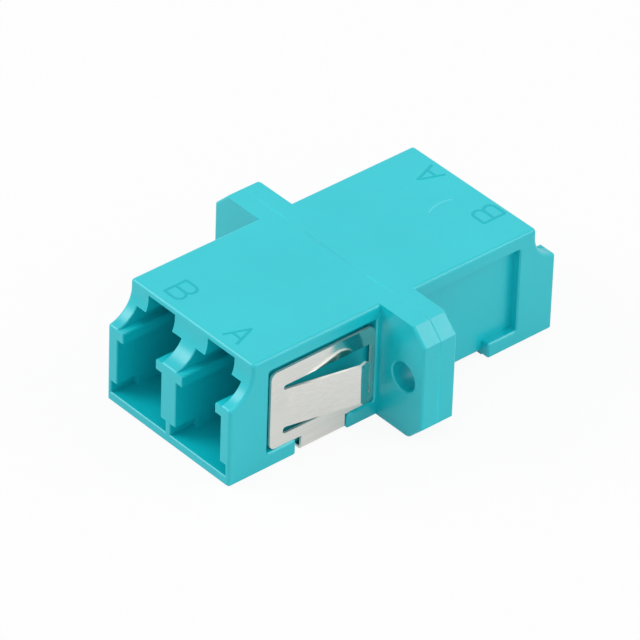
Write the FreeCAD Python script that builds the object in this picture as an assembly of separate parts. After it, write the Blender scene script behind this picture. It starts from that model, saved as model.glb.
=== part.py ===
import FreeCAD, Part
import math
import os

Vector = FreeCAD.Vector

# A flanged duplex fibre coupler. Millimetres, +Z up, plugs enter along Y, the front ports at -Y.
# The origin is on the flat underside, at the middle of the weld seam between the two halves.

# Body of one moulded half, from its mouth to the seam; its width is two ports and their walls
side_wall = 1.0
body_height = 9.3
half_length = 14.75
long_edge_round = 0.3
mouth_edge_round = 0.25

# Flange, half of it on each moulding; its screw holes are placed from the side of the body
flange_half_thickness = 1.48
ear_chamfer = 1.2
ear_edge_round = 0.2
seam_chamfer = 0.02
screw_from_side = 2.525
screw_to_ear_end = 2.0
screw_hole_radius = 1.15
screw_hole_chamfer = 0.08

# Curved step above the mouth; its foot is just above the rails, and its arc's middle is ahead of the mouth
step_setback = 1.95
step_above_rails = 0.05
step_arc_ahead = 0.36

# Ports
port_pitch = 6.25
port_width = 4.7
floor_thickness = 0.75
plug_height = 4.7
rail_height = 0.83
rail_reach = 0.61
shoulder_reach = 0.95
shoulder_height = 1.3
shoulder_length = 2.2
roof_thickness = 0.4
toe_height = 0.95
toe_depth = 2.0
toe_side_wall = 0.4
toe_middle_wall = 0.48
port_edge_chamfer = 0.06
rail_edge_chamfer = 0.08

# Bulkhead and sleeve holders
bulkhead_thickness = 1.6
holder_radius = 1.45
holder_lip = 0.6
holder_mouth_radius = 0.69
holder_lead_in = 0.3

# Split sleeves
sleeve_length = 6.8
sleeve_bore_radius = 0.625
sleeve_wall = 0.185
sleeve_slit = 0.25
sleeve_clearance = 0.04

# Locating pin and socket in the seam face
pin_radius = 0.5
pin_length = 0.7
pin_offset = 4.7
pin_above_holder = 4.1
pin_clearance = 0.05

# Pocket and channel for the clip
pocket_depth = 0.7
pocket_from_flange = 0.29
pocket_from_mouth = 3.4
pocket_lip_height = 1.24
pocket_from_top = 1.155
pocket_corner_round = 0.15
pocket_edge_chamfer = 0.1
notch_from_pocket_start = 2.4
notch_length = 4.6
notch_corner_round = 0.4
notch_foot_round = 0.2
channel_depth = 0.25
channel_edge_round = 0.34

# Clip; its tongues hold a panel against the flange
sheet_thickness = 0.2
panel_gap = 1.6
plate_off_floor = 0.36
plate_front_gap = 0.32
plate_rear_gap = 0.02
plate_top_gap = 0.5
plate_corner_round = 0.55
bridge_rear_gap = 0.1
bridge_front_gap = 0.59
fold_radius = 0.1
tongue_root = 1.15
tongue_bend_setback = 0.3
tongue_lift_angle = 12.0
flap_length = 0.9
flap_angle = 19.6
tongue_corner_round = 0.5
tongue_bend_radius = 0.4
window_rear_strip = 0.3
window_top_strip = 1.4
window_bottom_strip = 0.9
window_top_slot = 0.4
window_bottom_slot = 0.55
window_corner_round = 0.15
slot_round_share = 0.44

# Places worked out from the sizes above
body_side = (port_pitch + port_width) / 2 + side_wall
screw_offset = body_side + screw_from_side
ear_end = screw_offset + screw_to_ear_end
pocket_floor = body_side - pocket_depth
pocket_start = flange_half_thickness + pocket_from_flange
pocket_end = half_length - pocket_from_mouth
pocket_top = body_height - pocket_from_top
notch_start = pocket_start + notch_from_pocket_start
notch_end = notch_start + notch_length
rail_bottom = floor_thickness + plug_height
rail_top = rail_bottom + rail_height
roof_underside = body_height - roof_thickness
shoulder_bottom = roof_underside - shoulder_height
plug_axis_height = floor_thickness + plug_height / 2
port_sides = (-port_pitch / 2, port_pitch / 2)
sleeve_radius = sleeve_bore_radius + sleeve_wall
holder_bore_radius = sleeve_radius + sleeve_clearance
holder_reach = sleeve_length / 2 + holder_lip
plate_inner = pocket_floor + plate_off_floor
plate_outer = plate_inner + sheet_thickness
plate_bottom = pocket_lip_height
plate_top = pocket_top - plate_top_gap
slot_front = -pocket_end + plate_front_gap + tongue_root
tongue_bend = slot_front + tongue_bend_setback
window_bottom = plate_bottom + window_bottom_strip
window_top = plate_top - window_top_strip
tongue_bottom = window_bottom + window_bottom_slot
tongue_top = window_top - window_top_slot
step_front = -half_length + step_setback
step_radius = step_setback + step_arc_ahead
step_foot = rail_top + step_above_rails
step_centre_y = step_front - step_radius
step_centre_z = step_foot + math.sqrt(step_radius ** 2 - step_arc_ahead ** 2)
beyond = 2 * body_side


def outline_face(corners, place):
    """A flat face from (u, v, radius) corners; a corner with a radius becomes a tangent arc."""
    flat = [Vector(corner[0], corner[1], 0) for corner in corners]
    joins = []
    arcs = []
    for index, here in enumerate(flat):
        radius = corners[index][2]
        back = (flat[index - 1] - here).normalize()
        ahead = (flat[(index + 1) % len(flat)] - here).normalize()
        half_angle = back.getAngle(ahead) / 2
        reach = radius / math.tan(half_angle)
        start = here + back * reach
        end = here + ahead * reach
        joins.append((start, end))
        if radius > 0:
            inward = (back + ahead).normalize()
            middle = here + inward * (radius / math.sin(half_angle) - radius)
            arcs.append((start, middle, end))
        else:
            arcs.append(None)
    edges = []
    for index, arc in enumerate(arcs):
        line_start = joins[index - 1][1]
        line_end = joins[index][0]
        edges.append(Part.makeLine(place(line_start.x, line_start.y), place(line_end.x, line_end.y)))
        if arc:
            edges.append(Part.Arc(*[place(point.x, point.y) for point in arc]).toShape())
    return Part.Face(Part.Wire(edges))


def sharp(*points):
    """Corners with no radius."""
    return [(u, v, 0) for u, v in points]


def along_x(corners, x_start, x_end):
    """A solid with a (y, z) outline between two X places."""
    face = outline_face(corners, lambda y, z: Vector(x_start, y, z))
    return face.extrude(Vector(x_end - x_start, 0, 0))


def along_y(corners, y_start, y_end):
    """A solid with an (x, z) outline between two Y places."""
    face = outline_face(corners, lambda x, z: Vector(x, y_start, z))
    return face.extrude(Vector(0, y_end - y_start, 0))


def along_z(corners, z_start, z_end):
    """A solid with an (x, y) outline between two heights."""
    face = outline_face(corners, lambda x, y: Vector(x, y, z_start))
    return face.extrude(Vector(0, 0, z_end - z_start))


def rod(radius, x, z, y_start, y_end):
    """A round solid along Y."""
    return Part.makeCylinder(radius, y_end - y_start, Vector(x, y_start, z), Vector(0, 1, 0))


def cone(start_radius, end_radius, x, z, y_start, y_end):
    """A tapered round solid along Y."""
    direction = Vector(0, 1, 0)
    return Part.makeCone(start_radius, end_radius, y_end - y_start, Vector(x, y_start, z), direction)


def edges_where(shape, test):
    """The edges whose two ends and middle all pass a test."""
    chosen = []
    for edge in shape.Edges:
        first, last = edge.ParameterRange
        points = [edge.valueAt(first + (last - first) * share) for share in (0, 0.5, 1)]
        if all(test(point) for point in points):
            chosen.append(edge)
    return chosen


def is_corner(shape, edge):
    """True where the two faces at an edge meet at an angle."""
    middle = edge.valueAt(sum(edge.ParameterRange) / 2)
    faces = shape.ancestorsOfType(edge, Part.Face)
    normals = [face.normalAt(*face.Surface.parameter(middle)) for face in faces]
    return normals[0].getAngle(normals[-1]) > 0.1


def near(value, target):
    """True where two places are the same, within a hair."""
    return abs(value - target) < 1e-4


def mirrored(shape):
    """The same shape on the other side of the coupler."""
    return shape.mirror(Vector(0, 0, 0), Vector(1, 0, 0))


def turned_round(shape):
    """The same shape facing the other way along Y."""
    turned = shape.copy()
    turned.rotate(Vector(0, 0, 0), Vector(0, 0, 1), 180)
    return turned


def outer_block():
    """The body and flange of one half, with the curved step and rounded edges, before it is hollowed."""
    body = along_y([
        (-body_side, 0, 0),
        (body_side, 0, 0),
        (body_side, body_height, long_edge_round),
        (-body_side, body_height, long_edge_round),
    ], -half_length, 0)
    flange = along_y(sharp(
        (ear_chamfer - ear_end, 0),
        (ear_end - ear_chamfer, 0),
        (ear_end, ear_chamfer),
        (ear_end, body_height - ear_chamfer),
        (ear_end - ear_chamfer, body_height),
        (ear_chamfer - ear_end, body_height),
        (-ear_end, body_height - ear_chamfer),
        (-ear_end, ear_chamfer),
    ), -flange_half_thickness, 0)
    block = body.fuse(flange).removeSplitter()
    block = block.cut(curved_step())

    def on_mouth_contour(point):
        in_front = point.y < step_front + 1e-4
        on_side = abs(point.x) > body_side - long_edge_round - 1e-4
        on_top = point.z > body_height - long_edge_round - 1e-4
        on_foot = near(point.y, -half_length) and near(point.z, step_foot)
        return in_front and (on_side or on_top or on_foot)

    contour = [edge for edge in edges_where(block, on_mouth_contour)
               if not near(edge.BoundBox.ZMax, 0)]
    block = block.makeFillet(mouth_edge_round, contour)

    def on_ear_front(point):
        return near(point.y, -flange_half_thickness) and abs(point.x) > body_side + 1e-4

    block = block.makeFillet(ear_edge_round, edges_where(block, on_ear_front))

    def on_seam(point):
        return near(point.y, 0)

    return block.makeChamfer(seam_chamfer, edges_where(block, on_seam))


def curved_step():
    """What the curved step takes off above the mouth, over the whole width."""
    foot = Vector(0, -half_length, step_foot)
    turn = math.atan2(step_foot - step_centre_z, -half_length - step_centre_y) / 2
    middle = Vector(0, step_centre_y + step_radius * math.cos(turn),
                    step_centre_z + step_radius * math.sin(turn))
    brow = Vector(0, step_front, step_centre_z)
    top = Vector(0, step_front, body_height + step_radius)
    outer_top = Vector(0, -half_length - step_radius, body_height + step_radius)
    outer_foot = Vector(0, -half_length - step_radius, step_foot)
    wire = Part.Wire([
        Part.Arc(foot, middle, brow).toShape(),
        Part.makeLine(brow, top),
        Part.makeLine(top, outer_top),
        Part.makeLine(outer_top, outer_foot),
        Part.makeLine(outer_foot, foot),
    ])
    face = Part.Face(wire)
    face.translate(Vector(-beyond, 0, 0))
    return face.extrude(Vector(2 * beyond, 0, 0))


def port_space(centre):
    """The hollow of one port: plug space, rails, latch space and latch shoulders, and the toe undercut."""
    half = port_width / 2
    rail = half - rail_reach
    shoulder = half - shoulder_reach
    left = centre - half
    right = centre + half
    mouth = -half_length - step_setback
    shoulder_back = step_front + shoulder_length
    plug_space = [
        (left, rail_bottom),
        (left, floor_thickness),
        (right, floor_thickness),
        (right, rail_bottom),
        (centre + rail, rail_bottom),
        (centre + rail, rail_top - rail_edge_chamfer),
        (centre + rail + rail_edge_chamfer, rail_top),
        (right, rail_top),
    ]
    rail_return = [
        (left, rail_top),
        (centre - rail - rail_edge_chamfer, rail_top),
        (centre - rail, rail_top - rail_edge_chamfer),
        (centre - rail, rail_bottom),
    ]
    behind_shoulders = [(right, roof_underside), (left, roof_underside)]
    between_shoulders = [
        (right, shoulder_bottom),
        (centre + shoulder, shoulder_bottom),
        (centre + shoulder, roof_underside),
        (centre - shoulder, roof_underside),
        (centre - shoulder, shoulder_bottom),
        (left, shoulder_bottom),
    ]
    front = along_y(sharp(*plug_space, *between_shoulders, *rail_return), mouth, shoulder_back)
    back = along_y(sharp(*plug_space, *behind_shoulders, *rail_return), shoulder_back, -bulkhead_thickness)
    outer = math.copysign(body_side - toe_side_wall, centre)
    inner = math.copysign(toe_middle_wall / 2, centre)
    toe = along_y(sharp(
        (inner, floor_thickness),
        (outer, floor_thickness),
        (outer, floor_thickness + toe_height),
        (inner, floor_thickness + toe_height),
    ), mouth, toe_depth - half_length)
    return front.fuse([back, toe])


def holder_bore(centre):
    """The hole of a sleeve holder: the seat of the sleeve, then the funnel in the lip that keeps it in."""
    seat_end = -sleeve_length / 2
    seat = rod(holder_bore_radius, centre, plug_axis_height, seat_end, flange_half_thickness)
    funnel = cone(holder_mouth_radius + holder_lead_in, holder_mouth_radius, centre, plug_axis_height,
                  -holder_reach, seat_end)
    return seat.fuse(funnel)


def clip_space():
    """The pocket on the right side for a clip plate, with its notch, and half of the channel below."""
    pocket = along_x([
        (-pocket_start, pocket_lip_height, pocket_corner_round),
        (-pocket_start, pocket_top, pocket_corner_round),
        (-pocket_end, pocket_top, pocket_corner_round),
        (-pocket_end, pocket_lip_height, pocket_corner_round),
        (-notch_end, pocket_lip_height, pocket_corner_round),
        (-notch_end, 0, notch_foot_round),
        (-notch_end - 2 * notch_foot_round, 0, 0),
        (-notch_end - 2 * notch_foot_round, -channel_depth, 0),
        (-notch_start + 2 * notch_foot_round, -channel_depth, 0),
        (-notch_start + 2 * notch_foot_round, 0, 0),
        (-notch_start, 0, notch_foot_round),
        (-notch_start, pocket_lip_height, notch_corner_round),
    ], pocket_floor, beyond)
    channel = along_y([
        (0, -channel_depth, 0),
        (beyond, -channel_depth, 0),
        (beyond, pocket_lip_height, 0),
        (pocket_floor, pocket_lip_height, 0),
        (pocket_floor, channel_depth, channel_edge_round),
        (0, channel_depth, 0),
    ], -notch_end, -notch_start)
    return pocket.fuse(channel)


def screw_hole():
    """The hole of the right ear, with its broken front edge."""
    middle = body_height / 2
    front = -flange_half_thickness
    hole = rod(screw_hole_radius, screw_offset, middle, 2 * front, flange_half_thickness)
    wide = screw_hole_radius + screw_hole_chamfer
    edge = cone(wide, screw_hole_radius, screw_offset, middle, front, front + screw_hole_chamfer)
    return hole.fuse(edge)


def front_housing():
    """One moulded half of the coupler."""
    housing = outer_block()
    housing = housing.cut([port_space(centre) for centre in port_sides])
    holders = [rod(holder_radius, centre, plug_axis_height, -holder_reach, -bulkhead_thickness / 2)
               for centre in port_sides]
    pin_height = plug_axis_height + pin_above_holder
    pin = rod(pin_radius, pin_offset, pin_height, -pin_radius, pin_length)
    housing = housing.fuse([*holders, pin])
    socket = rod(pin_radius + pin_clearance, -pin_offset, pin_height,
                 -pin_length - pin_clearance, flange_half_thickness)
    side = clip_space().fuse(screw_hole())
    bores = [holder_bore(centre) for centre in port_sides]
    housing = housing.cut([socket, side, mirrored(side), *bores]).removeSplitter()

    def on_port_mouth(point):
        within_sides = abs(point.x) < body_side - mouth_edge_round - 1e-4
        on_front = near(point.y, -half_length) and within_sides and point.z > floor_thickness - 1e-4
        on_step = near(math.hypot(point.y - step_centre_y, point.z - step_centre_z), step_radius)
        on_wall = near(abs(abs(point.x) - port_pitch / 2), port_width / 2)
        return on_front or (on_step and on_wall)

    mouths = [edge for edge in edges_where(housing, on_port_mouth) if is_corner(housing, edge)]
    housing = housing.makeChamfer(port_edge_chamfer, mouths)

    def on_pocket_rim(point):
        along_pocket = -pocket_end - 1e-4 < point.y < -pocket_start + 1e-4
        return near(abs(point.x), body_side) and along_pocket and point.z < pocket_top + 1e-4

    rims = [edge for edge in edges_where(housing, on_pocket_rim) if not near(edge.BoundBox.ZMax, 0)]
    return housing.makeChamfer(pocket_edge_chamfer, rims)


def tongue_strip():
    """The sprung tongue of the right plate, bent out from its root and in again at its flap."""
    root = Vector(plate_inner, tongue_bend, 0)
    lift = math.radians(tongue_lift_angle)
    fall = math.radians(flap_angle)
    along = Vector(math.sin(lift), math.cos(lift), 0)
    along_flap = Vector(-math.sin(fall), math.cos(fall), 0)
    crest_place = -flange_half_thickness - panel_gap - flap_length * along_flap.y
    crest = root + along * ((crest_place - root.y) / along.y)
    tip = crest + along_flap * flap_length
    across = Vector(along.y, -along.x, 0)
    across_flap = Vector(along_flap.y, -along_flap.x, 0)
    halfway = (across + across_flap).normalize()
    crest_outer = crest + halfway * (sheet_thickness / halfway.dot(across))
    root_outer = root + Vector(sheet_thickness, -sheet_thickness * math.tan(lift / 2), 0)
    tip_outer = tip + across_flap * sheet_thickness
    strip = along_z([
        (root.x, root.y, 0),
        (crest.x, crest.y, tongue_bend_radius),
        (tip.x, tip.y, 0),
        (tip_outer.x, tip_outer.y, 0),
        (crest_outer.x, crest_outer.y, tongue_bend_radius + sheet_thickness),
        (root_outer.x, root_outer.y, 0),
    ], tongue_bottom, tongue_top)

    def on_tip_corner(point):
        on_side = near(point.z, tongue_bottom) or near(point.z, tongue_top)
        return on_side and point.y > min(tip.y, tip_outer.y) - 1e-4

    return strip.makeFillet(tongue_corner_round, edges_where(strip, on_tip_corner))


def clip_side():
    """The right side of the clip: its plate in the pocket, with a window, and the tongue bent out of it."""
    front = -pocket_end + plate_front_gap
    rear = -pocket_start - plate_rear_gap
    plate = along_x([
        (front, plate_bottom, plate_corner_round),
        (rear, plate_bottom, plate_corner_round),
        (rear, plate_top, plate_corner_round),
        (front, plate_top, plate_corner_round),
    ], plate_inner, plate_outer)
    window_rear = rear - window_rear_strip
    bottom_slot_round = slot_round_share * window_bottom_slot
    top_slot_round = slot_round_share * window_top_slot
    window = along_x([
        (slot_front, window_bottom, bottom_slot_round),
        (window_rear, window_bottom, window_corner_round),
        (window_rear, window_top, window_corner_round),
        (slot_front, window_top, top_slot_round),
        (slot_front, tongue_top, top_slot_round),
        (tongue_bend, tongue_top, 0),
        (tongue_bend, tongue_bottom, 0),
        (slot_front, tongue_bottom, bottom_slot_round),
    ], 0, beyond)
    return plate.cut(window).fuse(tongue_strip())


def panel_clip():
    """The folded steel clip: two sprung sides joined by a bridge under the body."""
    under = channel_depth - sheet_thickness
    joined = plate_bottom + sheet_thickness
    bridge = along_y([
        (plate_inner, joined, 0),
        (plate_inner, channel_depth, fold_radius),
        (-plate_inner, channel_depth, fold_radius),
        (-plate_inner, joined, 0),
        (-plate_outer, joined, 0),
        (-plate_outer, under, fold_radius + sheet_thickness),
        (plate_outer, under, fold_radius + sheet_thickness),
        (plate_outer, joined, 0),
    ], -notch_end + bridge_front_gap, -notch_start - bridge_rear_gap)
    side = clip_side()
    return bridge.fuse([side, mirrored(side)]).removeSplitter()


def split_sleeve(centre):
    """A slit tube that grips the two plug tips of one channel."""
    half = sleeve_length / 2
    tube = rod(sleeve_radius, centre, plug_axis_height, -half, half)
    tube = tube.cut(rod(sleeve_bore_radius, centre, plug_axis_height, -half, half))
    slit = along_y(sharp(
        (centre - sleeve_slit / 2, plug_axis_height),
        (centre + sleeve_slit / 2, plug_axis_height),
        (centre + sleeve_slit / 2, plug_axis_height + 2 * sleeve_radius),
        (centre - sleeve_slit / 2, plug_axis_height + 2 * sleeve_radius),
    ), -half, half)
    return tube.cut(slit)


front_half = front_housing()
left_centre, right_centre = port_sides
pieces = {
    "front_housing": front_half,
    "rear_housing": turned_round(front_half),
    "panel_clip": panel_clip(),
    "left_sleeve": split_sleeve(left_centre),
    "right_sleeve": split_sleeve(right_centre),
}

os.makedirs("parts", exist_ok=True)
for name, shape in pieces.items():
    solid = shape.Solids[0]
    solid.exportStep("parts/" + name + ".step")
    print(name, len(shape.Solids), shape.isValid(), round(shape.Volume, 3), shape.BoundBox)
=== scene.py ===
"""Looks of a flanged duplex fibre coupler: two mouldings, a spring clip and ceramic sleeves."""

import math

import bmesh
import bpy
from bpy.props import FloatProperty, FloatVectorProperty, PointerProperty
from mathutils import Matrix, Vector


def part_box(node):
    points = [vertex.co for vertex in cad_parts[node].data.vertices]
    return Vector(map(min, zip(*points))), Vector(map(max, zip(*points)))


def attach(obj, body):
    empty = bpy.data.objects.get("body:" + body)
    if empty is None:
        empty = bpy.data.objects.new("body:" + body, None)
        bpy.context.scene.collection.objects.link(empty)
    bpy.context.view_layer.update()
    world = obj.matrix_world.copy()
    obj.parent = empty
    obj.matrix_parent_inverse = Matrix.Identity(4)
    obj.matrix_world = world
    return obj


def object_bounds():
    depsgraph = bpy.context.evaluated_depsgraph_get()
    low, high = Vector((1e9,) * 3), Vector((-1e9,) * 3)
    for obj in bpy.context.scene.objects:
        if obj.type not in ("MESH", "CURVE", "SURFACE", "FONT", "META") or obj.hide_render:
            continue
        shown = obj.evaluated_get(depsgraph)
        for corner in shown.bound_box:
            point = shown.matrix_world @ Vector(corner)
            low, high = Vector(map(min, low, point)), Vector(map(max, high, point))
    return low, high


bl_info = {
    "name": "Fibre coupler looks",
    "version": (1, 0, 0),
    "blender": (4, 5, 0),
    "location": "View3D > Sidebar > Coupler",
    "description": "Gives the modelled fibre coupler its finishes, port letters and stage",
    "category": "Object",
}

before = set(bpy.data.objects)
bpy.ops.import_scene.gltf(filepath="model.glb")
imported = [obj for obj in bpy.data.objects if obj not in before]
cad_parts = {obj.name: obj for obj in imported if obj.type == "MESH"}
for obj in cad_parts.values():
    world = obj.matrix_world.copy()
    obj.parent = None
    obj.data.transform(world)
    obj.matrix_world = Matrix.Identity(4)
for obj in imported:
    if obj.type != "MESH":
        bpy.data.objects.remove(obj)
cad_low, cad_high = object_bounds()
top_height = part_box("front_housing")[1].z

BODY = "root"
HOUSINGS = ("front_housing", "rear_housing")
SLEEVES = ("left_sleeve", "right_sleeve")

# Noises in features per metre, and the spans of values that they use
MELT_DRIFT = 140
GLOSS_CLOUDS = 620
ZIRCONIA_CLOUDS = 900
SCUFF_SCALE = (2600, 420, 1400)
SCUFF_TURN = (0.3, 0.5, 0.7)
SCUFF_SPAN = (0.5, 0.9)
NOISE_SPAN = (0.3, 0.7)
MASK_SPAN = (0, 1)

# Moulded plastic: darkest and lightest shade, share of the grain in them, and depth and strength
# of the relief
PLASTIC_SHADES = (0.965, 1.035)
PLASTIC_GRAIN_SHARE = 0.25
PLASTIC_GLOSS_SPREAD = 0.025
PLASTIC_SCUFFS = 0.04
PLASTIC_RELIEF = (0.000004, 0.5)

# Weld line: how it fades out beside the seam, its blur and tones, and the ends of the ears, where
# a painted highlight makes it pale
WELD_FADE = (0, 0.00008)
WELD_BLUR = 0.2
WELD_UNEVEN_SPAN = (0.4, 0.6)
WELD_UNEVEN_TONE = 2.2
WELD_PAINTED_HIGHLIGHT_TONE = 3
EAR_END = (cad_high.x - 0.0015, cad_high.x - 0.0002)

# Strip steel. Its ends are the faces whose normal lies along the strip by more than the lean. Its
# other sheared edges, above the foot of the plates, are those whose normal lies outward by less
STEEL_SHADES = (0.96, 1.04)
STEEL_BLUR_SPREAD = 0.03
STEEL_SCUFFS = 0.05
STEEL_RELIEF = (0.000002, 0.4)
FINE_LINES = 3
LINE_STRETCH = 40
SHEARED_LEAN = 0.6
# The sheared ends are painted lighter than the strip: a painted highlight on the cut faces
SHEARED_PAINTED_HIGHLIGHT_TONE = 3
PLATE_FOOT = 0.0012

# Zirconia
ZIRCONIA_SHADES = (0.97, 1.02)
ZIRCONIA_POLISH_SPREAD = 0.06
ZIRCONIA_SCUFFS = 0.04

# Raised hairlines, and the arc on the rear half, which is finer and lower than a letter's lines
HAIRLINE_SIDES = 24
BOWL_STEPS = 14
ARC_CENTRE = (0.00266, 0.0096)
ARC_BOW = 0.00265
ARC_START = math.radians(159)
ARC_TURN = math.radians(53)
ARC_STEPS = 12
ARC_TIMES_FINER = 2
ARC_TIMES_LOWER = 3

# Stage
FLOOR_RADIUS = 1.5
FLOOR_SIDES = 64
FLOOR_DROP = 0.00002
SENSOR_WIDTH = 36

# A Mix node has its sockets once for each kind of data, so those for colours go by number
COLOUR_MIX_FACTOR, COLOUR_MIX_DARK, COLOUR_MIX_LIGHT = 0, 6, 7
COLOUR_MIX_RESULT = 2


class CouplerPlastic(bpy.types.PropertyGroup):
    """Finish of the two moulded halves."""

    colour: FloatVectorProperty(
        name="Colour", description="Aqua of the moulded plastic", subtype="COLOR",
        default=(0.001, 0.57, 0.645), min=0, max=1)
    roughness: FloatProperty(
        name="Roughness", description="Satin of the moulded skin", subtype="FACTOR",
        default=0.34, min=0, max=1)
    shine: FloatProperty(
        name="Shine", description="Strength of the plastic's reflections", subtype="FACTOR",
        default=0.65, min=0, max=1)
    grain: FloatProperty(
        name="Grain", description="Width of one grain of the mould's texture", unit="LENGTH",
        default=0.00016, min=0.00001, max=0.002)


class CouplerSteel(bpy.types.PropertyGroup):
    """Finish of the spring clip."""

    colour: FloatVectorProperty(
        name="Colour", description="Colour of the bare steel", subtype="COLOR",
        default=(0.8, 0.785, 0.745), min=0, max=1)
    roughness: FloatProperty(
        name="Roughness", description="Blur of the steel's reflections", subtype="FACTOR",
        default=0.11, min=0, max=1)
    cut_roughness: FloatProperty(
        name="Cut Roughness", description="Blur added on the sheared edges of the sheet",
        subtype="FACTOR", default=0.45, min=0, max=1)
    line_spacing: FloatProperty(
        name="Line Spacing", description="Distance between the rolling lines along the strip",
        unit="LENGTH", default=0.00012, min=0.00001, max=0.002)


class CouplerCeramic(bpy.types.PropertyGroup):
    """Finish of the split sleeves."""

    colour: FloatVectorProperty(
        name="Colour", description="White of the zirconia", subtype="COLOR",
        default=(0.87, 0.86, 0.82), min=0, max=1)
    roughness: FloatProperty(
        name="Roughness", description="Polish of the zirconia", subtype="FACTOR",
        default=0.15, min=0, max=1)


class CouplerLetters(bpy.types.PropertyGroup):
    """Raised letters beside the ports, and the faint moulded arc."""

    # The letters' aqua is darker than the plastic's: painted shade standing in for the shade on
    # the slopes of the ridges
    colour: FloatVectorProperty(
        name="Colour", description="Aqua of the raised letters", subtype="COLOR",
        default=(0.001, 0.48, 0.55), min=0, max=1)
    shine: FloatProperty(
        name="Shine", description="Strength of the letters' reflections", subtype="FACTOR",
        default=0.28, min=0, max=1)
    mark_colour: FloatVectorProperty(
        name="Mark Colour", description="Paler aqua of the moulded arc", subtype="COLOR",
        default=(0.06, 0.645, 0.73), min=0, max=1)
    height: FloatProperty(
        name="Height", description="Height of a letter", unit="LENGTH",
        default=0.00195, min=0.0005, max=0.004)
    width: FloatProperty(
        name="Width", description="Width of a letter", unit="LENGTH",
        default=0.00145, min=0.0005, max=0.004)
    line_width: FloatProperty(
        name="Line Width", description="Width of a raised hairline", unit="LENGTH",
        default=0.00025, min=0.00002, max=0.0005)
    rise: FloatProperty(
        name="Rise", description="How far a hairline stands above the plastic", unit="LENGTH",
        default=0.000025, min=0.000001, max=0.0001)


class CouplerStage(bpy.types.PropertyGroup):
    """Camera, lamps and floor."""

    azimuth: FloatProperty(
        name="Azimuth", description="Turn of the camera to the right of the front",
        subtype="ANGLE", default=0.83944)
    elevation: FloatProperty(
        name="Elevation", description="Height of the camera above the horizon",
        subtype="ANGLE", default=0.629598)
    roll: FloatProperty(
        name="Roll", description="Tilt of the camera about its view",
        subtype="ANGLE", default=0.035559)
    lens: FloatProperty(
        name="Lens", description="Focal length", unit="CAMERA", default=377.485, min=10, max=1000)
    camera_place: FloatVectorProperty(
        name="Camera Place", description="Camera from the origin: to its right, up and back",
        subtype="XYZ", unit="LENGTH", default=(-0.00076735, 0.00293383, 0.464722), precision=6)
    front_power: FloatProperty(
        name="Front Power", description="Power of the soft lamp at the front left",
        unit="POWER", default=0.95, min=0, max=20)
    rear_power: FloatProperty(
        name="Rear Power", description="Power of the soft lamp at the rear right",
        unit="POWER", default=0.62, min=0, max=20)
    top_power: FloatProperty(
        name="Top Power", description="Power of the soft lamp overhead",
        unit="POWER", default=0.42, min=0, max=20)
    fill_power: FloatProperty(
        name="Fill Power", description="Power of the soft lamp at the right",
        unit="POWER", default=0.22, min=0, max=20)
    lamp_size: FloatProperty(
        name="Lamp Size", description="Side of each soft lamp",
        unit="LENGTH", default=0.26, min=0.01, max=2)
    lamp_distance: FloatProperty(
        name="Lamp Distance", description="Distance of each lamp from the coupler",
        unit="LENGTH", default=0.5, min=0.1, max=5)
    sky_level: FloatProperty(
        name="Sky Level", description="Light from all round",
        subtype="FACTOR", default=0.48, min=0, max=1)
    floor_colour: FloatVectorProperty(
        name="Floor Colour", description="Pale floor", subtype="COLOR",
        default=(0.82, 0.82, 0.82), min=0, max=1)
    floor_white: FloatProperty(
        name="Floor White", subtype="FACTOR", default=0.92, min=0, max=1,
        description="Share of plain white where the floor is seen, over its own shading")
    mirrored_white: FloatProperty(
        name="Mirrored White", subtype="FACTOR", default=0.4, min=0, max=1,
        description="Share of plain white where the floor is seen in a reflection")


def add_node(tree, kind, values=None, **settings):
    """A shader node with its settings and its unlinked inputs filled in."""
    node = tree.nodes.new(kind)
    for name, value in settings.items():
        setattr(node, name, value)
    for name, value in (values or {}).items():
        node.inputs[name].default_value = value
    return node


def calculate(tree, kind, first, second=0.0):
    """One sum, product or comparison of masks. The second may be a plain number."""
    node = add_node(tree, "ShaderNodeMath", operation=kind)
    tree.links.new(first, node.inputs[0])
    if isinstance(second, float):
        node.inputs[1].default_value = second
    else:
        tree.links.new(second, node.inputs[1])
    return node.outputs["Value"]


def total(tree, *masks):
    """The sum of masks."""
    result = masks[0]
    for mask in masks[1:]:
        result = calculate(tree, "ADD", result, mask)
    return result


def value_between(tree, mask, low, high, span=NOISE_SPAN):
    """A number that goes from low to high while a mask crosses a span."""
    start, end = span
    level = add_node(
        tree, "ShaderNodeMapRange",
        {"From Min": start, "From Max": end, "To Min": low, "To Max": high})
    tree.links.new(mask, level.inputs["Value"])
    return level.outputs["Result"]


def shade_between(tree, tone, colour, shades):
    """A colour that follows a tone from its dark to its light shade, and past them."""
    dark, light = [
        (*[min(1.0, channel * shade) for channel in colour], 1.0) for shade in shades]
    mix = add_node(
        tree, "ShaderNodeMix", {COLOUR_MIX_DARK: dark, COLOUR_MIX_LIGHT: light},
        data_type="RGBA", clamp_factor=False)
    tree.links.new(tone, mix.inputs[COLOUR_MIX_FACTOR])
    return mix.outputs[COLOUR_MIX_RESULT]


def raise_surface(tree, shader, height, relief):
    """Fine relief from a height mask."""
    distance, strength = relief
    bump = add_node(tree, "ShaderNodeBump", {"Strength": strength, "Distance": distance})
    tree.links.new(height, bump.inputs["Height"])
    tree.links.new(bump.outputs["Normal"], shader.inputs["Normal"])


def new_group(name, inputs, outputs):
    """An empty shader group with named sockets, and its input and output nodes."""
    group = bpy.data.node_groups.new(name, "ShaderNodeTree")
    for socket, kind in inputs:
        group.interface.new_socket(socket, in_out="INPUT", socket_type=kind)
    for socket, kind in outputs:
        group.interface.new_socket(socket, in_out="OUTPUT", socket_type=kind)
    return group, group.nodes.new("NodeGroupInput"), group.nodes.new("NodeGroupOutput")


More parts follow.
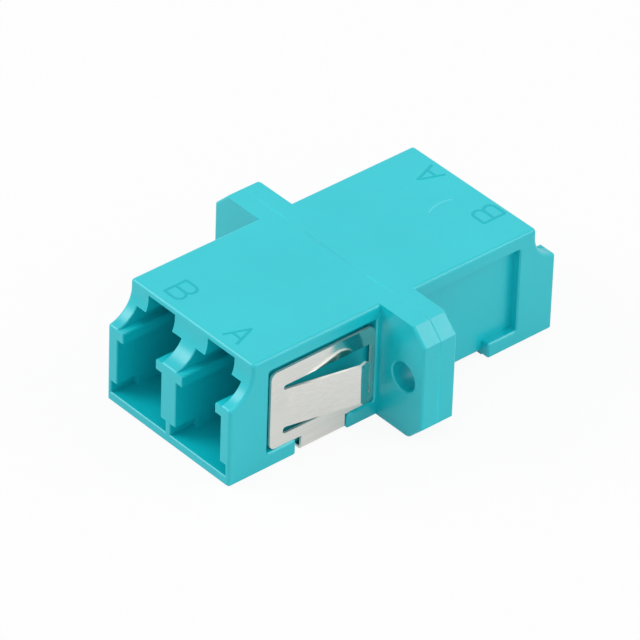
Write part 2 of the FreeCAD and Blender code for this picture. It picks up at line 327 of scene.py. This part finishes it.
def moulded_skin_group():
    """Slow colour drift of the melt, uneven gloss and the fine grain that the mould leaves."""
    if "moulded_skin" in bpy.data.node_groups:
        return bpy.data.node_groups["moulded_skin"]
    group, given, result = new_group(
        "moulded_skin",
        [("Vector", "NodeSocketVector"), ("Grain Size", "NodeSocketFloat")],
        [("Tone", "NodeSocketFloat"), ("Gloss", "NodeSocketFloat"),
         ("Height", "NodeSocketFloat")])
    drift = add_node(
        group, "ShaderNodeTexNoise", {"Scale": MELT_DRIFT, "Detail": 3, "Roughness": 0.5})
    cloud = add_node(
        group, "ShaderNodeTexNoise", {"Scale": GLOSS_CLOUDS, "Detail": 4, "Roughness": 0.6})
    per_grain = add_node(group, "ShaderNodeMath", {0: 1.0}, operation="DIVIDE")
    grain = add_node(group, "ShaderNodeTexNoise", {"Detail": 2, "Roughness": 0.5})
    blend = add_node(
        group, "ShaderNodeMix", {"Factor": PLASTIC_GRAIN_SHARE}, data_type="FLOAT")
    link = group.links.new
    for noise in (drift, cloud, grain):
        link(given.outputs["Vector"], noise.inputs["Vector"])
    link(given.outputs["Grain Size"], per_grain.inputs[1])
    link(per_grain.outputs["Value"], grain.inputs["Scale"])
    link(drift.outputs["Fac"], blend.inputs["A"])
    link(grain.outputs["Fac"], blend.inputs["B"])
    link(blend.outputs["Result"], result.inputs["Tone"])
    link(cloud.outputs["Fac"], result.inputs["Gloss"])
    link(grain.outputs["Fac"], result.inputs["Height"])
    return group


def handling_marks_group():
    """A mask of sparse, faint scuffs from handling."""
    if "handling_marks" in bpy.data.node_groups:
        return bpy.data.node_groups["handling_marks"]
    group, given, result = new_group(
        "handling_marks",
        [("Vector", "NodeSocketVector"), ("Amount", "NodeSocketFloat")],
        [("Marks", "NodeSocketFloat")])
    turn = add_node(group, "ShaderNodeMapping", {"Rotation": SCUFF_TURN, "Scale": SCUFF_SCALE})
    scuff = add_node(group, "ShaderNodeTexNoise", {"Scale": 1, "Detail": 1, "Roughness": 0.5})
    link = group.links.new
    link(given.outputs["Vector"], turn.inputs["Vector"])
    link(turn.outputs["Vector"], scuff.inputs["Vector"])
    sparse = value_between(group, scuff.outputs["Fac"], 0, 1, SCUFF_SPAN)
    marks = calculate(group, "MULTIPLY", sparse, given.outputs["Amount"])
    link(marks, result.inputs["Marks"])
    return group


def new_material(name, scuffs):
    """A material with its shader, object coordinates and an amount of faint handling marks."""
    material = bpy.data.materials.new(name)
    material.use_nodes = True
    tree = material.node_tree
    shader = tree.nodes["Principled BSDF"]
    place = tree.nodes.new("ShaderNodeTexCoord").outputs["Object"]
    marks = add_node(tree, "ShaderNodeGroup", node_tree=handling_marks_group())
    marks.inputs["Amount"].default_value = scuffs
    tree.links.new(place, marks.inputs["Vector"])
    return material, tree, shader, place, marks.outputs["Marks"]


def weld_line(tree, place, skin_tone):
    """A soft mask of the weld line, and its tone: uneven, and lighter at the ears' ends, a
    painted highlight.
    """
    parts = tree.nodes.new("ShaderNodeSeparateXYZ")
    tree.links.new(place, parts.inputs["Vector"])
    from_seam = calculate(tree, "ABSOLUTE", parts.outputs["Y"])
    from_middle = calculate(tree, "ABSOLUTE", parts.outputs["X"])
    line = value_between(tree, from_seam, 1, 0, WELD_FADE)
    uneven = value_between(
        tree, skin_tone, -WELD_UNEVEN_TONE, WELD_UNEVEN_TONE, WELD_UNEVEN_SPAN)
    # Painted highlight: the weld line is painted paler towards the ends of the ears
    pale = value_between(tree, from_middle, 0, WELD_PAINTED_HIGHLIGHT_TONE, EAR_END)
    return line, calculate(tree, "MULTIPLY", line, total(tree, uneven, pale))


def plastic_material(name, colour, shine, plastic):
    """Satin moulded plastic in one colour, with a faint weld line where the halves meet, painted
    lighter at the ends of the ears as a highlight.
    """
    material, tree, shader, place, marks = new_material(name, PLASTIC_SCUFFS)
    shader.inputs["Specular IOR Level"].default_value = shine
    skin = add_node(tree, "ShaderNodeGroup", node_tree=moulded_skin_group())
    skin.inputs["Grain Size"].default_value = plastic.grain
    tree.links.new(place, skin.inputs["Vector"])
    weld, weld_tone = weld_line(tree, place, skin.outputs["Tone"])
    tone = total(tree, value_between(tree, skin.outputs["Tone"], 0, 1), weld_tone)
    base = shade_between(tree, tone, colour, PLASTIC_SHADES)
    tree.links.new(base, shader.inputs["Base Color"])
    gloss = value_between(
        tree, skin.outputs["Gloss"],
        plastic.roughness - PLASTIC_GLOSS_SPREAD, plastic.roughness + PLASTIC_GLOSS_SPREAD)
    dull = value_between(tree, weld, 0, WELD_BLUR, MASK_SPAN)
    tree.links.new(total(tree, gloss, dull, marks), shader.inputs["Roughness"])
    raise_surface(tree, shader, skin.outputs["Height"], PLASTIC_RELIEF)
    return material


def sheared_masks(tree, place):
    """Masks of the strip's sheared ends and of all its sheared edges."""
    normal = tree.nodes.new("ShaderNodeSeparateXYZ")
    spot = tree.nodes.new("ShaderNodeSeparateXYZ")
    facing = tree.nodes.new("ShaderNodeTexCoord").outputs["Normal"]
    tree.links.new(facing, normal.inputs["Vector"])
    tree.links.new(place, spot.inputs["Vector"])
    along = calculate(tree, "ABSOLUTE", normal.outputs["Y"])
    outward = calculate(tree, "ABSOLUTE", normal.outputs["X"])
    ends = calculate(tree, "GREATER_THAN", along, SHEARED_LEAN)
    turned = calculate(tree, "LESS_THAN", outward, SHEARED_LEAN)
    on_plate = calculate(tree, "GREATER_THAN", spot.outputs["Z"], PLATE_FOOT)
    plate_edges = calculate(tree, "MULTIPLY", turned, on_plate)
    return ends, calculate(tree, "MAXIMUM", ends, plate_edges)


def steel_material(steel):
    """Bright strip steel with coarse and fine rolling lines along its length, and a painted
    highlight on its sheared ends.
    """
    material, tree, shader, place, marks = new_material("clip_steel", STEEL_SCUFFS)
    shader.inputs["Metallic"].default_value = 1.0
    lines = []
    for spacing in (steel.line_spacing, steel.line_spacing / FINE_LINES):
        across = 1 / spacing
        stretch = add_node(
            tree, "ShaderNodeMapping", {"Scale": (across, across / LINE_STRETCH, across)})
        noise = add_node(
            tree, "ShaderNodeTexNoise", {"Scale": 1, "Detail": 2, "Roughness": 0.6})
        tree.links.new(place, stretch.inputs["Vector"])
        tree.links.new(stretch.outputs["Vector"], noise.inputs["Vector"])
        lines.append(noise.outputs["Fac"])
    coarse, fine = lines
    ends, edges = sheared_masks(tree, place)
    # The tone follows the rolling lines, and the sheared ends are painted lighter as a highlight
    tone = total(
        tree, value_between(tree, coarse, 0, 1),
        value_between(tree, ends, 0, SHEARED_PAINTED_HIGHLIGHT_TONE, MASK_SPAN))
    base = shade_between(tree, tone, steel.colour, STEEL_SHADES)
    tree.links.new(base, shader.inputs["Base Color"])
    blur = value_between(
        tree, fine, steel.roughness - STEEL_BLUR_SPREAD, steel.roughness + STEEL_BLUR_SPREAD)
    dull = value_between(tree, edges, 0, steel.cut_roughness, MASK_SPAN)
    tree.links.new(total(tree, blur, dull, marks), shader.inputs["Roughness"])
    raise_surface(tree, shader, total(tree, coarse, fine), STEEL_RELIEF)
    return material


def ceramic_material(ceramic):
    """Polished white zirconia."""
    material, tree, shader, place, marks = new_material("sleeve_ceramic", ZIRCONIA_SCUFFS)
    cloud = add_node(tree, "ShaderNodeTexNoise", {"Scale": ZIRCONIA_CLOUDS, "Detail": 3})
    tree.links.new(place, cloud.inputs["Vector"])
    tone = value_between(tree, cloud.outputs["Fac"], 0, 1)
    base = shade_between(tree, tone, ceramic.colour, ZIRCONIA_SHADES)
    tree.links.new(base, shader.inputs["Base Color"])
    polish = value_between(
        tree, cloud.outputs["Fac"],
        ceramic.roughness, ceramic.roughness + ZIRCONIA_POLISH_SPREAD)
    tree.links.new(total(tree, polish, marks), shader.inputs["Roughness"])
    return material


def dress(nodes, material):
    """Gives modelled nodes their finish."""
    for name in nodes:
        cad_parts[name].material_slots[0].material = material


def hairline_face(mesh, place, radius, heading):
    """The round end of a hairline that starts at a place on the flat and heads along an angle."""
    stand = Matrix.Rotation(math.pi / 2, 4, "Y")
    turn = Matrix.Translation((*place, 0)) @ Matrix.Rotation(heading, 4, "Z") @ stand
    ring = bmesh.ops.create_circle(
        mesh, cap_ends=True, segments=HAIRLINE_SIDES, radius=radius, matrix=turn)
    return ring["verts"][0].link_faces[0]


def straight_hairline(mesh, start, end, radius):
    """A hairline between two places on the flat."""
    run = Vector(end) - Vector(start)
    face = hairline_face(mesh, start, radius, math.atan2(run.y, run.x))
    grown = bmesh.ops.extrude_face_region(mesh, geom=[face])["geom"]
    verts = [item for item in grown if isinstance(item, bmesh.types.BMVert)]
    bmesh.ops.translate(mesh, verts=verts, vec=(run.x, run.y, 0))


def bowed_hairline(mesh, centre, bow, radius, start, turn, steps):
    """A hairline along an arc on the flat."""
    place = (centre[0] + bow * math.cos(start), centre[1] + bow * math.sin(start))
    face = hairline_face(mesh, place, radius, start + math.pi / 2)
    bmesh.ops.spin(
        mesh, geom=[face, *face.edges, *face.verts], cent=(*centre, 0), axis=(0, 0, 1),
        angle=turn, steps=steps, use_merge=False)


def letter_a(mesh, width, height, radius):
    """A capital A: two legs and a crossbar, with its middle at the origin."""
    apex = (0, height / 2)
    for side in (-1, 1):
        straight_hairline(mesh, (side * width / 2, -height / 2), apex, radius)
    crossbar = -height / 6
    reach = width / 2 * (0.5 - crossbar / height)
    straight_hairline(mesh, (-reach, crossbar), (reach, crossbar), radius)


def letter_b(mesh, width, height, radius):
    """A capital B: a stem, three bars and two bowls, with its middle at the origin."""
    left = -width / 2
    bow = height / 4
    bowl_start = width / 2 - bow
    straight_hairline(mesh, (left, -height / 2), (left, height / 2), radius)
    for bar in (-height / 2, 0, height / 2):
        straight_hairline(mesh, (left, bar), (bowl_start, bar), radius)
    for middle in (-bow, bow):
        bowed_hairline(
            mesh, (bowl_start, middle), bow, radius, -math.pi / 2, math.pi, BOWL_STEPS)


def raised_piece(name, draw, place, heading, line_width, rise, material):
    """A piece of hairlines drawn on the flat, flattened and sunk in the top up to a low ridge."""
    mesh = bmesh.new()
    # The flattened tubes are twice the rise high above their middle, which lies one rise deep,
    # so at the surface they are as wide as their radius times the root of three
    radius = line_width / math.sqrt(3)
    draw(mesh, radius)
    flat = Matrix.Diagonal((1, 1, 2 * rise / radius, 1))
    seat = Matrix.Translation((*place, top_height - rise)) @ Matrix.Rotation(heading, 4, "Z")
    bmesh.ops.transform(mesh, matrix=seat @ flat, verts=mesh.verts)
    bmesh.ops.recalc_face_normals(mesh, faces=mesh.faces)
    if any(not edge.is_manifold for edge in mesh.edges):
        raise RuntimeError(name + " has open edges")
    for face in mesh.faces:
        face.smooth = True
        if len(face.verts) == HAIRLINE_SIDES:
            for edge in face.edges:
                edge.smooth = False
    data = bpy.data.meshes.new(name)
    mesh.to_mesh(data)
    mesh.free()
    data.materials.append(material)
    piece = bpy.data.objects.new(name, data)
    bpy.context.scene.collection.objects.link(piece)
    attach(piece, BODY)


class COUPLER_OT_dress_housings(bpy.types.Operator):
    """Gives both moulded halves their satin aqua plastic"""

    bl_idname = "coupler.dress_housings"
    bl_label = "Dress Housings"

    def execute(self, context):
        plastic = context.scene.coupler_plastic
        dress(HOUSINGS, plastic_material("aqua_plastic", plastic.colour, plastic.shine, plastic))
        return {"FINISHED"}


class COUPLER_OT_dress_clip(bpy.types.Operator):
    """Gives the spring clip its bright rolled steel"""

    bl_idname = "coupler.dress_clip"
    bl_label = "Dress Clip"

    def execute(self, context):
        dress(("panel_clip",), steel_material(context.scene.coupler_steel))
        return {"FINISHED"}


class COUPLER_OT_dress_sleeves(bpy.types.Operator):
    """Gives the split sleeves their polished zirconia"""

    bl_idname = "coupler.dress_sleeves"
    bl_label = "Dress Sleeves"

    def execute(self, context):
        dress(SLEEVES, ceramic_material(context.scene.coupler_ceramic))
        return {"FINISHED"}


class COUPLER_OT_port_letters(bpy.types.Operator):
    """Raises the letters A and B beside the ports, on both halves"""

    bl_idname = "coupler.port_letters"
    bl_label = "Port Letters"

    def execute(self, context):
        settings = context.scene.coupler_letters
        # The letters' darker aqua is painted shade on their ridges
        material = plastic_material(
            "letter_plastic", settings.colour, settings.shine, context.scene.coupler_plastic)
        letters = (
            ("front_letter_a", letter_a, (0.00312, -0.0111), 0),
            ("front_letter_b", letter_b, (-0.00317, -0.01097), 0),
            ("rear_letter_a", letter_a, (-0.0031, 0.01123), math.pi),
            ("rear_letter_b", letter_b, (0.00296, 0.01135), math.pi),
        )
        for name, letter, place, heading in letters:
            raised_piece(
                name, lambda mesh, radius: letter(mesh, settings.width, settings.height, radius),
                place, heading, settings.line_width, settings.rise, material)
        return {"FINISHED"}


class COUPLER_OT_moulding_mark(bpy.types.Operator):
    """Raises the faint arc that the mould leaves on the rear half"""

    bl_idname = "coupler.moulding_mark"
    bl_label = "Moulding Mark"

    def execute(self, context):
        settings = context.scene.coupler_letters
        plastic = context.scene.coupler_plastic
        material = plastic_material("mark_plastic", settings.mark_colour, plastic.shine, plastic)
        raised_piece(
            "rear_moulding_mark",
            lambda mesh, radius: bowed_hairline(
                mesh, (0, 0), ARC_BOW, radius, ARC_START, ARC_TURN, ARC_STEPS),
            ARC_CENTRE, 0, settings.line_width / ARC_TIMES_FINER,
            settings.rise / ARC_TIMES_LOWER, material)
        return {"FINISHED"}


class COUPLER_OT_stage(bpy.types.Operator):
    """Sets the pale floor, the soft light and the camera"""

    bl_idname = "coupler.stage"
    bl_label = "Stage"

    def execute(self, context):
        stage = context.scene.coupler_stage
        context.scene.view_settings.view_transform = "Standard"
        self.add_floor(context, stage)
        self.add_sky(context, stage)
        lamps = (
            ("front_left_lamp", (-0.61, -0.53, 0.59), stage.front_power),
            ("rear_right_lamp", (0.59, 0.54, 0.6), stage.rear_power),
            ("top_lamp", (0, 0, 1), stage.top_power),
            ("fill_lamp", (0.86, -0.31, 0.4), stage.fill_power),
        )
        for name, direction, power in lamps:
            self.add_lamp(context, stage, name, direction, power)
        self.add_camera(context, stage)
        return {"FINISHED"}

    def seen_rays(self, tree, straight, mirrored):
        """One share for rays from the camera or through glass, another after a reflection."""
        path = tree.nodes.new("ShaderNodeLightPath")
        direct = calculate(
            tree, "MAXIMUM", path.outputs["Is Camera Ray"], path.outputs["Is Transmission Ray"])
        return total(
            tree, calculate(tree, "MULTIPLY", direct, straight),
            calculate(tree, "MULTIPLY", path.outputs["Is Glossy Ray"], mirrored))

    def add_floor(self, context, stage):
        """A pale matte floor that is nearly white where it is seen, and keeps the shadow."""
        mesh = bmesh.new()
        bmesh.ops.create_circle(mesh, cap_ends=True, segments=FLOOR_SIDES, radius=FLOOR_RADIUS)
        bmesh.ops.translate(mesh, verts=mesh.verts, vec=(0, 0, -FLOOR_DROP))
        data = bpy.data.meshes.new("studio_floor")
        mesh.to_mesh(data)
        mesh.free()
        material = bpy.data.materials.new("studio_floor")
        material.use_nodes = True
        tree = material.node_tree
        tree.nodes.remove(tree.nodes["Principled BSDF"])
        matte = add_node(tree, "ShaderNodeBsdfDiffuse", {"Color": (*stage.floor_colour, 1)})
        white = tree.nodes.new("ShaderNodeEmission")
        seen = tree.nodes.new("ShaderNodeMixShader")
        share = self.seen_rays(tree, stage.floor_white, stage.mirrored_white)
        tree.links.new(share, seen.inputs["Fac"])
        tree.links.new(matte.outputs["BSDF"], seen.inputs[1])
        tree.links.new(white.outputs["Emission"], seen.inputs[2])
        tree.links.new(seen.outputs["Shader"], tree.nodes["Material Output"].inputs["Surface"])
        data.materials.append(material)
        floor = bpy.data.objects.new("studio_floor", data)
        context.scene.collection.objects.link(floor)

    def add_sky(self, context, stage):
        """A soft sky that is white where it is seen."""
        world = bpy.data.worlds.new("studio_sky")
        world.use_nodes = True
        tree = world.node_tree
        background = tree.nodes["Background"]
        background.inputs["Color"].default_value = (1, 1, 1, 1)
        level = value_between(
            tree, self.seen_rays(tree, 1.0, 1.0), stage.sky_level, 1, MASK_SPAN)
        tree.links.new(level, background.inputs["Strength"])
        context.scene.world = world

    def add_lamp(self, context, stage, name, direction, power):
        """A soft square lamp in a direction from the coupler, which it faces."""
        data = bpy.data.lights.new(name, "AREA")
        data.energy = power
        data.size = stage.lamp_size
        lamp = bpy.data.objects.new(name, data)
        towards = Vector(direction).normalized()
        lamp.location = towards * stage.lamp_distance
        lamp.rotation_euler = towards.to_track_quat("Z", "Y").to_euler()
        context.scene.collection.objects.link(lamp)

    def add_camera(self, context, stage):
        """The camera at the viewing angle of the photograph."""
        sin_azimuth, cos_azimuth = math.sin(stage.azimuth), math.cos(stage.azimuth)
        sin_elevation, cos_elevation = math.sin(stage.elevation), math.cos(stage.elevation)
        right = Vector((cos_azimuth, sin_azimuth, 0))
        up = Vector((-sin_azimuth * sin_elevation, cos_azimuth * sin_elevation, cos_elevation))
        back = Vector((sin_azimuth * cos_elevation, -cos_azimuth * cos_elevation, sin_elevation))
        axes = Matrix((right, up, back)).transposed() @ Matrix.Rotation(stage.roll, 3, "Z")
        data = bpy.data.cameras.new("photo_camera")
        data.lens = stage.lens
        data.sensor_width = SENSOR_WIDTH
        camera = bpy.data.objects.new("photo_camera", data)
        place = Matrix.Translation(axes @ Vector(stage.camera_place))
        camera.matrix_world = place @ axes.to_4x4()
        context.scene.collection.objects.link(camera)
        context.scene.camera = camera


OPERATORS = (
    COUPLER_OT_dress_housings,
    COUPLER_OT_dress_clip,
    COUPLER_OT_dress_sleeves,
    COUPLER_OT_port_letters,
    COUPLER_OT_moulding_mark,
    COUPLER_OT_stage,
)
SETTINGS = {
    "coupler_plastic": CouplerPlastic,
    "coupler_steel": CouplerSteel,
    "coupler_ceramic": CouplerCeramic,
    "coupler_letters": CouplerLetters,
    "coupler_stage": CouplerStage,
}


class VIEW3D_PT_coupler(bpy.types.Panel):
    """Steps and settings of the fibre coupler's looks"""

    bl_label = "Fibre Coupler"
    bl_idname = "VIEW3D_PT_coupler"
    bl_space_type = "VIEW_3D"
    bl_region_type = "UI"
    bl_category = "Coupler"

    def draw(self, context):
        layout = self.layout
        for operator in OPERATORS:
            layout.operator(operator.bl_idname)
        for name in SETTINGS:
            group = getattr(context.scene, name)
            box = layout.box()
            for setting in group.bl_rna.properties:
                if setting.identifier in group.__annotations__:
                    box.prop(group, setting.identifier)


def register():
    for settings in SETTINGS.values():
        bpy.utils.register_class(settings)
    for name, settings in SETTINGS.items():
        setattr(bpy.types.Scene, name, PointerProperty(type=settings))
    for item in (*OPERATORS, VIEW3D_PT_coupler):
        bpy.utils.register_class(item)


def unregister():
    for item in (VIEW3D_PT_coupler, *reversed(OPERATORS)):
        bpy.utils.unregister_class(item)
    for name, settings in SETTINGS.items():
        delattr(bpy.types.Scene, name)
        bpy.utils.unregister_class(settings)


def main():
    register()
    bpy.ops.coupler.dress_housings()
    bpy.ops.coupler.dress_clip()
    bpy.ops.coupler.dress_sleeves()
    bpy.ops.coupler.port_letters()
    bpy.ops.coupler.moulding_mark()
    bpy.ops.coupler.stage()


if __name__ == "__main__":
    main()
